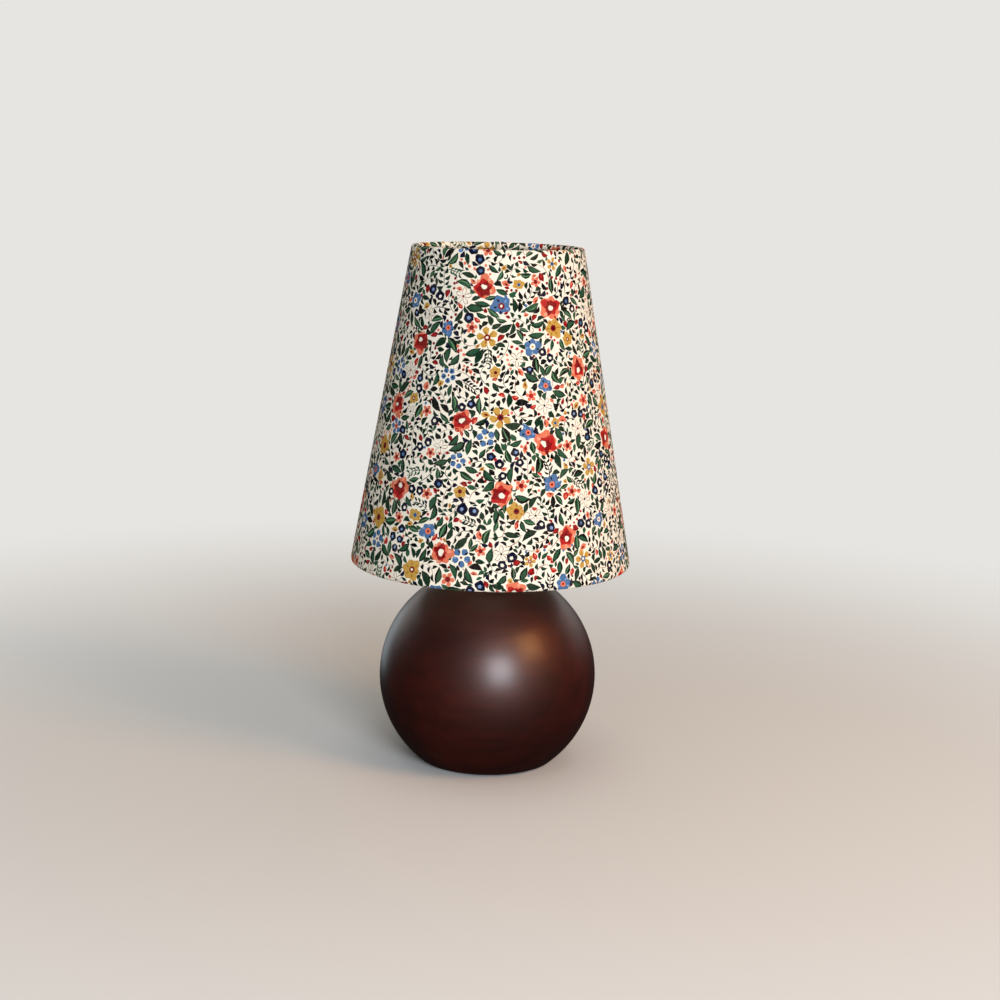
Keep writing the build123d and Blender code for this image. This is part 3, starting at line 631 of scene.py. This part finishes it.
def rosette(size):
    """The largest flower: coral petals with pink strokes round a dark red heart."""
    def petal():
        return [(blade(size * 0.4, size * 0.3, 0.2, 3), "pink")]
    made = [(blob(draw.choice((6, 7)), size, 0.34, 4, 0.2, 0.7), "coral")]
    made += round_about(draw.choice((3, 4)), size * 0.5, petal)
    heart = [(blob(5, size * 0.74, 0.55, 3, 0.4), "red")]
    heart.append((blob(6, size * 0.58, 0.6, 3, 0.4), "dark red"))
    made += aside(heart, size * 0.2)
    return made + aside([(blob(5, size * 0.27, 0.6, 2, 0.4), "cream")], size * 0.1)


def gold_flower(size):
    """A gold flower with mustard strokes, its petals joined or apart."""
    def petal():
        return [(blade(size * 0.9, size * 0.66, 0.05, 4, 0.7), "gold")]

    def vein(wide):
        return lambda: [(blade(size * 0.5, size * wide, 0, 2), "mustard")]

    count = draw.choice((5, 6))
    if draw.random() < 0.5:
        made = [(blob(count, size, 0.42, 4, 0.22, 0.6), "gold")]
        made += round_about(count, size * 0.34, vein(0.16))
    else:
        made = round_about(5, size * 0.14, petal) + round_about(5, size * 0.2, vein(0.2))
    middle = draw.choice(("dark red", "cornflower", "dark red"))
    made.append((blob(4, size * 0.34, 0.2, 2), middle))
    return made + [(blob(1, size * 0.15, 0, 5), draw.choice(("cream", "navy")))]


def blue_flower(size):
    """A cornflower-blue flower with pale or dark strokes and a two-coloured eye."""
    def petal():
        return [(blade(size * 0.8, size * 0.7, 0, 4, 0.65), "cornflower")]

    def vein():
        return [(blade(size * 0.4, size * 0.24, 0, 2), draw.choice(("pale blue", "navy")))]

    if draw.random() < 0.6:
        made = [(blob(5, size, 0.48, 4, 0.22, 0.6), "cornflower")]
    else:
        made = round_about(5, size * 0.2, petal)
    made += round_about(5, size * 0.42, vein)
    eyes = ("cream", "dark red"), ("coral", "dark red"), ("cream", "gold"), ("dark red", "cream")
    middle, eye = draw.choice(eyes)
    return made + [(blob(5, size * 0.36, 0.3, 2), middle), (blob(1, size * 0.15, 0, 5), eye)]


def coral_flower(size):
    """A small flower of five coral petals that stand apart."""
    def petal():
        return [(blade(size * 0.9, size * 0.66, 0, 3, 0.62), "coral")]
    made = round_about(5, size * 0.08, petal)
    return made + [(blob(5, size * 0.4, 0.3, 2), draw.choice(("dark red", "red", "dark red")))]


def navy_flower(size):
    """A small dark flower with a pale eye."""
    made = [(blob(5, size, 0.36, 3, 0.16, 0.6), "navy")]
    eye = [(blob(1, size * 0.36, 0, 5), draw.choice(("pale blue", "cream", "cream", "cornflower")))]
    return made + aside(eye, size * 0.1)


def leaf(length):
    """A leaf with a thick dark edge on one side, a lighter inside and often a pale streak."""
    width, bend = length * draw.uniform(0.36, 0.5), draw.uniform(-0.16, 0.16)
    edge = draw.choice(("dark green", "ink", "dark green"))
    made = [(blade(length, width, bend, 4, draw.uniform(0.32, 0.58)), edge)]
    if draw.random() < 0.75:
        green = draw.choice(("leaf green", "leaf green", "dark green"))
        inside = [(blade(length * 0.78, width * 0.6, bend, 3), green)]
        made += at(inside, length * 0.1, width * draw.uniform(-0.12, 0.12))
    if draw.random() < 0.35:
        made.append((half_blade(length, width * draw.choice((0.36, -0.36)), bend, 3), "pale green"))
    return at(made, -length / 2, 0)


def fern(length):
    """A stem with pairs of narrow leaves."""
    bend, dye = draw.uniform(-0.2, 0.2), draw.choice(("dark green", "leaf green", "ink"))
    t = np.linspace(0, 1, 6)
    rib = np.stack((length * t, bend * length * np.sin(np.pi * t)), 1)
    made = [(stroke(rib, 0.5 * mm), dye)]
    for k in range(1, 5):
        for side in (1, -1):
            long, wide = draw.uniform(3.6, 5.0) * mm, draw.uniform(1.3, 1.8) * mm
            pinna = [(blade(long, wide, 0.2 * side, 3), dye)]
            made += at(pinna, rib[k, 0], rib[k, 1], side * draw.uniform(0.5, 0.9))
    return at(made, -length / 2, 0)


def twig(length):
    """A bowed thin stem with small dark leaves on alternate sides."""
    bend, count = draw.uniform(-0.35, 0.35), draw.choice((4, 5, 6))
    dye = draw.choice(("dark green", "ink", "ink"))
    t = np.linspace(0, 1, 5)
    rib = np.stack((length * t, bend * length * np.sin(np.pi * t)), 1)
    made = [(stroke(rib, 0.42 * mm), draw.choice(("sepia", dye)))]
    for k in range(count):
        share = (k + 0.5) / count
        x, y = np.interp(share, t, rib[:, 0]), np.interp(share, t, rib[:, 1])
        side = 1 if k % 2 else -1
        long, wide = draw.uniform(3.8, 5.8) * mm, draw.uniform(1.9, 2.9) * mm
        small = [(blade(long, wide, 0.2 * side, 3, 0.36), dye)]
        made += at(small, x, y + side * 0.3 * mm, side * draw.uniform(0.4, 1.2))
    return at(made, -length / 2, 0)


def sliver(length):
    """One or two small dark leaves from one point."""
    dye = draw.choice(("dark green", "ink", "leaf green", "dark green", "ink", "navy"))
    made, first = [], draw.uniform(0.0, 0.5)
    for k in range(draw.choice((1, 1, 2))):
        wide, long = length * draw.uniform(0.38, 0.58), length * draw.uniform(0.8, 1)
        shape = blade(long, wide, draw.uniform(-0.3, 0.3), 3, draw.uniform(0.25, 0.6))
        made += at([(shape, dye)], 0, 0, (-1) ** k * (first + 0.5 * k))
    return at(made, -length / 2, 0)


def chip(length):
    """A very small dark leaf that fills a gap."""
    wide, bend = length * draw.uniform(0.42, 0.62), draw.uniform(-0.2, 0.2)
    shape = blade(length, wide, bend, 2, draw.uniform(0.3, 0.6))
    dye = draw.choice(("dark green", "ink", "leaf green", "navy", "dark green"))
    return at([(shape, dye)], -length / 2, 0)


def bud(length):
    """A closed flower with a stroke of a second colour."""
    reds = ("red", "coral"), ("dark red", "red"), ("coral", "dark red"), ("dark red", "red")
    outside, inside = draw.choice((*reds, ("gold", "dark red")))
    wide, bend = length * draw.uniform(0.5, 0.75), draw.uniform(-0.15, 0.15)
    made = [(blade(length, wide, bend, 3, draw.uniform(0.35, 0.65)), outside)]
    streak = [(blade(length * 0.5, length * 0.24, 0, 2), inside)]
    made += at(streak, length * 0.3, draw.uniform(-0.08, 0.08) * length)
    return at(made, -length / 2, 0)


def dot_row(size):
    """A few round dots along a short arc."""
    dye, bow = draw.choice(("red", "dark red", "dark red", "coral")), draw.uniform(-0.35, 0.35)
    made = []
    for k in range(draw.choice((3, 4, 5))):
        made += at([(blob(1, size, 0, 5), dye)], k * size * 3.0, bow * k * k * size)
    return made


def dot(size):
    """One round dot."""
    dots = "red", "dark red", "dark red", "ink", "cornflower", "coral", "ink", "dark green"
    return [(blob(1, size, 0, 5), draw.choice(dots))]


def drawn_blossom(size):
    """A blossom in thin line only, as if left uncoloured."""
    def loop():
        t = np.linspace(0, 1, 6)
        angle, reach = (t - 0.5) * 1.15, size * (0.2 + 0.8 * np.sin(np.pi * t))
        line = np.stack((reach * np.cos(angle), reach * np.sin(angle)), 1)
        return [(stroke(line, 0.4 * mm), "sepia")]
    made = round_about(5, 0, loop)
    return made + [(blob(1, size * 0.16, 0, 5), draw.choice(("ink", "dark red")))]


def scroll(size):
    """A curled tendril, thin and brown or thick and dark."""
    t = np.linspace(0, 1, 8)
    angle, reach = draw.uniform(0.8, 1.6) * np.pi * t, size * (0.15 + 0.85 * t)
    line = np.stack((reach * np.cos(angle), reach * np.sin(angle)), 1)
    wide, dye = draw.choice(((0.4, "sepia"), (0.4, "sepia"), (0.95, "ink"), (0.95, "dark green")))
    return [(stroke(line, wide * mm), dye)]


# The print is laid out on the flat cloth from the largest flowers to the smallest
# dots: each goes where it finds room, and the cloth already covered is ticked off.
tick, margin = 0.4 * mm, 20 * mm
left, low_edge = -outer * math.sin(half_cloth) - margin, -outer - margin
columns = int(-2 * left / tick)
rows = int((outer - inner * math.cos(half_cloth) + 2 * margin) / tick)
covered = np.zeros((columns, rows), bool)
shaky_hand, shake = np.random.default_rng(23), 0.08 * mm
dot_gap = 0.7 * mm
printed = []


def squares(points):
    """The small squares of cloth that points lie in."""
    across_cloth = np.clip(((points[:, 0] - left) / tick).astype(int), 3, columns - 4)
    return across_cloth, np.clip(((points[:, 1] - low_edge) / tick).astype(int), 3, rows - 4)


def filled(shapes):
    """Points close together all over shapes."""
    found = []
    for outline, _ in shapes:
        closed = np.concatenate((outline, outline[:1]))
        run = np.concatenate(((0,), np.cumsum(np.hypot(*np.diff(closed, axis=0).T))))
        along = np.arange(0, run[-1], dot_gap)
        rim = np.stack([np.interp(along, run, closed[:, k]) for k in (0, 1)], 1)
        centre = outline.mean(0)
        shares = np.arange(0.86, 0, -min(dot_gap / np.abs(outline - centre).max(), 0.5))
        found.append((centre + (rim - centre) * shares[:, None, None]).reshape(-1, 2))
    return np.concatenate(found)


def put(shapes):
    """Prints shapes if the cloth under them is bare: their rims are looked at first."""
    rims = 0.92 * np.concatenate([outline for outline, _ in shapes])
    if covered[squares(rims + 0.08 * shapes[0][0].mean(0))].any():
        return False
    under = squares(filled(shapes))
    if covered[under].any():
        return False
    covered[under] = True
    for outline, dye in shapes:
        printed.append((outline + shaky_hand.normal(0, shake, outline.shape), dye))
    return True


def drift(x, y):
    """The way that stems lean at a place on the cloth, so that neighbours sweep together."""
    return 2.4 * math.sin(x / (19 * mm)) + 2.2 * math.cos(y / (16 * mm)) + draw.uniform(-0.7, 0.7)


def strew(motif, count, low, high, tries, apart=0.0, friends=None):
    """Prints up to count motifs, from low to high in size, no two of a call nearer than apart."""
    places = []
    for _ in range(tries):
        if len(places) == count:
            break
        from_apex = math.sqrt(draw.uniform(inner**2, outer**2))
        turn = draw.uniform(-half_cloth, half_cloth)
        x, y = from_apex * math.sin(turn), -from_apex * math.cos(turn)
        if covered[int((x - left) / tick), int((y - low_edge) / tick)]:
            continue
        if apart and any(math.hypot(x - u, y - v) < apart for u, v in places):
            continue
        size = draw.uniform(low, high)
        shapes, lean_of = motif(size), drift(x, y)
        if any(put(at(shapes, x, y, lean_of + more)) for more in (0, 1.6, 3.1, 4.7)):
            places.append((x, y))
            if friends:
                friends(x, y, size)


def leaves_round(x, y, size):
    """Leaves that spring from behind a flower."""
    for _ in range(5):
        angle = draw.uniform(0, full_turn)
        length = draw.uniform(8, 13) * mm
        reach, shapes = size * 1.04 + length / 2, leaf(length)
        lean_of = angle + draw.uniform(-0.5, 0.5)
        put(at(shapes, x + reach * math.cos(angle), y + reach * math.sin(angle), lean_of))


def navy_group(x, y, size):
    """One to three more navy flowers close beside one."""
    for _ in range(draw.choice((1, 1, 2, 3))):
        angle, reach = draw.uniform(0, full_turn), 2.15 * size
        put(at(navy_flower(size), x + reach * math.cos(angle), y + reach * math.sin(angle)))


strew(rosette, 44, 7.6 * mm, 9.0 * mm, 3000, 45 * mm, leaves_round)
strew(gold_flower, 34, 6.2 * mm, 7.4 * mm, 2000, 42 * mm, leaves_round)
strew(blue_flower, 66, 5.4 * mm, 6.8 * mm, 3000, 24 * mm, leaves_round)
strew(coral_flower, 44, 4.0 * mm, 5.2 * mm, 2000, 26 * mm)
strew(gold_flower, 34, 3.6 * mm, 4.8 * mm, 2000, 28 * mm)
strew(navy_flower, 110, 3.1 * mm, 3.9 * mm, 2500, 14 * mm, navy_group)
strew(drawn_blossom, 46, 4.5 * mm, 6.0 * mm, 2500, 28 * mm)
strew(twig, 300, 11 * mm, 16 * mm, 10000, 9 * mm)
strew(fern, 90, 11 * mm, 15 * mm, 4000, 18 * mm)
strew(leaf, 150, 10 * mm, 14 * mm, 5000, 12 * mm)
strew(bud, 280, 5.0 * mm, 7.2 * mm, 5000, 8 * mm)
strew(leaf, 220, 6.5 * mm, 9.5 * mm, 6000)
strew(dot_row, 140, 1.0 * mm, 1.3 * mm, 4000, 8 * mm)
strew(sliver, 1500, 5.8 * mm, 7.6 * mm, 18000)
strew(bud, 240, 3.8 * mm, 5.0 * mm, 5000)
strew(sliver, 560, 4.6 * mm, 5.8 * mm, 16000)
strew(scroll, 70, 2.2 * mm, 3.6 * mm, 2500, 10 * mm)
strew(dot, 640, 0.9 * mm, 1.3 * mm, 7000)
strew(chip, 220, 3.4 * mm, 4.4 * mm, 12000)

# The printed shapes, the cloth's border and the lines along its rolled edges are joined
# into one mesh of the flat cloth, which is then wrapped on the shade.
points, edges = [], []


def polar(from_apex, turn):
    """A point of the flat cloth, whose edges are arcs round the point where the cone would end."""
    return (from_apex * math.sin(turn), -from_apex * math.cos(turn))


def add_line(line, closed=False):
    """Keeps a drawn line, so that the mesh gets edges along it."""
    edges.extend((len(points) + k, len(points) + k + 1) for k in range(len(line) - 1))
    if closed:
        edges.append((len(points) + len(line) - 1, len(points)))
    points.extend(line)


steps_round, steps_up = 145, 60
turns = np.linspace(-half_cloth, half_cloth, steps_round)
border = [polar(outer, t) for t in turns] + [polar(inner, t) for t in turns[::-1]]
add_line(border)
for outline, _ in printed:
    add_line(outline, True)
# Lines along both rims for the folds of the hem and the roll round the wire, then lines up
# the lap, and a loose net of points that keeps the bare cloth's triangles small.
for way in [*edge_way[1:4], *np.linspace(edge_way[4], edge_roll, 10)]:
    for from_apex in (apex - way, apex - slant + way):
        add_line([polar(from_apex, t) for t in turns[:: 1 if way > edge_way[3] else 2]])
lap_start = half_cloth - lap
cut_lines = half_cloth - cut_low / apex, half_cloth - cut_high / apex
for turn in (*cut_lines, lap_start, lap_start - lap_ramp / apex):
    add_line([polar(from_apex, turn) for from_apex in np.linspace(inner, outer, steps_up)])
net = 7 * mm
for k in range(1, int((outer - inner) / net)):
    from_apex, half_step = inner + k * net, 0.5 * (k % 2)
    count = int(2 * half_cloth * from_apex / net)
    for step in range(1, count):
        turn = -half_cloth + 2 * half_cloth * (step + half_step) / count
        points.append(polar(from_apex, turn))

whole = [list(range(len(border)))]
only_inside, merge_under, keep_sources = 1, 1e-7, True
flat_points, _, triangles, _, _, sources = delaunay_2d_cdt(
    [Vector(point) for point in points], edges, whole, only_inside, merge_under, keep_sources
)
triangles = [corners for corners, source in zip(triangles, sources) if source]
used, triangles = np.unique(np.array(triangles), return_inverse=True)
triangles = triangles.reshape(-1, 3)
flat = np.array([tuple(flat_points[k]) for k in used])
middles = flat[triangles].mean(1)
by_x = np.argsort(middles[:, 0])
# Each triangle takes the dye of the last printed shape that its middle lies in.
shades = np.full(len(triangles), dye_order.index("cream"))
for outline, name in printed:
    low, high = outline.min(0), outline.max(0)
    near = by_x[slice(*np.searchsorted(middles[by_x, 0], (low[0], high[0])))]
    near = near[(middles[near, 1] > low[1]) & (middles[near, 1] < high[1])]
    ends = np.roll(outline, -1, 0)[:, None]
    starts, here = outline[:, None], middles[near]
    spans = (starts[..., 1] > here[:, 1]) != (ends[..., 1] > here[:, 1])
    way, off = ends - starts, here - starts
    to_left = (way[..., 0] * off[..., 1] - way[..., 1] * off[..., 0]) * way[..., 1] > 0
    shades[near[(spans & to_left).sum(0) % 2 == 1]] = dye_order.index(name)
spots, facing = on_shade(flat)
cotton_mesh = bpy.data.meshes.new("printed_cotton")
cotton_mesh.from_pydata(spots.tolist(), [], triangles.tolist())
dye_of_face = cotton_mesh.attributes.new("dye", "FLOAT", "FACE")
dye_of_face.data.foreach_set("value", (shades + 0.5) / len(dye_order))
cloth_low, cloth_high = flat.min(0), flat.max(0)
cloth_size = cloth_high - cloth_low
corner_of = np.empty(len(cotton_mesh.loops), np.int32)
cotton_mesh.loops.foreach_get("vertex_index", corner_of)
unwrapped = cotton_mesh.uv_layers.new(name="OFBake")
unwrapped.uv.foreach_set("vector", ((flat[corner_of] - cloth_low) / cloth_size).ravel())
cotton_mesh.shade_smooth()
cotton_mesh.normals_split_custom_set_from_vertices(facing.tolist())
shade_cotton = bpy.data.objects.new("shade_cotton", cotton_mesh)
bpy.context.scene.collection.objects.link(shade_cotton)

cotton = new_finish("printed_cotton")
dye = cotton.node("Attribute", {"attribute_name": "dye"}, {}, "Fac")
stops = [(k / len(dye_order), colour(*dyes[name])) for k, name in enumerate(dye_order)]
print_colour = cotton.node("ValToRGB", {"interpolation": "CONSTANT", "stops": stops}, {"Fac": dye})
spread_flat = cotton.node("UVMap", {"uv_map": "OFBake"}, {})
metres = cotton.squeeze(spread_flat, (cloth_size[0], cloth_size[1], 1))
thread_pitch, slub_stretch = 0.62 * mm, 0.04
threads = [cotton.part_of(metres, axis) * (2 * math.pi / thread_pitch) for axis in ("X", "Y")]
warp, weft = [cotton.math("SINE", thread) for thread in threads]
slub_down = cotton.noise(cotton.squeeze(metres, (1, slub_stretch, 1)), 1500, 2)
slub_across = cotton.noise(cotton.squeeze(metres, (slub_stretch, 1, 1)), 1500, 2)
patchy = cotton.noise(metres, 60, 4, 0.6)
uneven = cotton.math("MAXIMUM", 0.10 * patchy + 0.10 * slub_down + 0.10 * slub_across - 0.13, 0.0)
cotton.surface({
    "Base Color": cotton.blend(uneven, print_colour, colour(216, 200, 176)),
    "Roughness": 0.86,
    "Specular IOR Level": 0.02,
    "Normal": cotton.relief(warp * weft + 0.8 * slub_down + 0.8 * slub_across, 0.00006, 0.5),
})
cotton_mesh.materials.append(cotton.owner)
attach(shade_cotton, "shade")
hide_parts("shade_cover")
cloth_area = half_cloth * (outer**2 - inner**2)
